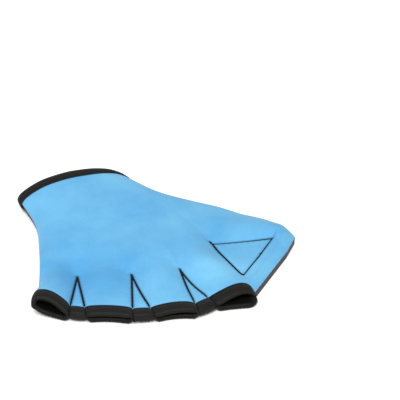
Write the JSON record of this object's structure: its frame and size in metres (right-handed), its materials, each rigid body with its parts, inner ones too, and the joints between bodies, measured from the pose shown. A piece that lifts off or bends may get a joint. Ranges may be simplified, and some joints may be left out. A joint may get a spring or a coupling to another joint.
{
  "type": "webbed swim glove",
  "caption": "Right-hand webbed swim glove of neoprene: blue back, charcoal palm, black bound edges, short open finger tubes with webs between them and a closed thumb",
  "frame": {"origin": "centre of the glove's outline, on the surface that the palm lies on", "axes": "+Z out of the back of the hand, -Y towards the finger openings, +X towards the thumb"},
  "size_m": [0.1994, 0.1996, 0.024],
  "materials": {
    "back_neoprene": "nylon jersey laminated on neoprene, bright sky blue, matte",
    "palm_neoprene": "nylon jersey laminated on neoprene, charcoal, matte",
    "binding_tape": "woven nylon binding tape, black, matte"
  },
  "bodies": {
    "root": {"back_panel": "back_neoprene", "palm_panel": "palm_neoprene", "wrist_binding": "binding_tape", "pinky_binding": "binding_tape", "ring_binding": "binding_tape", "middle_binding": "binding_tape", "index_binding": "binding_tape", "web_binding_1": "binding_tape", "web_binding_2": "binding_tape", "web_binding_3": "binding_tape"}
  },
  "joints": []
}
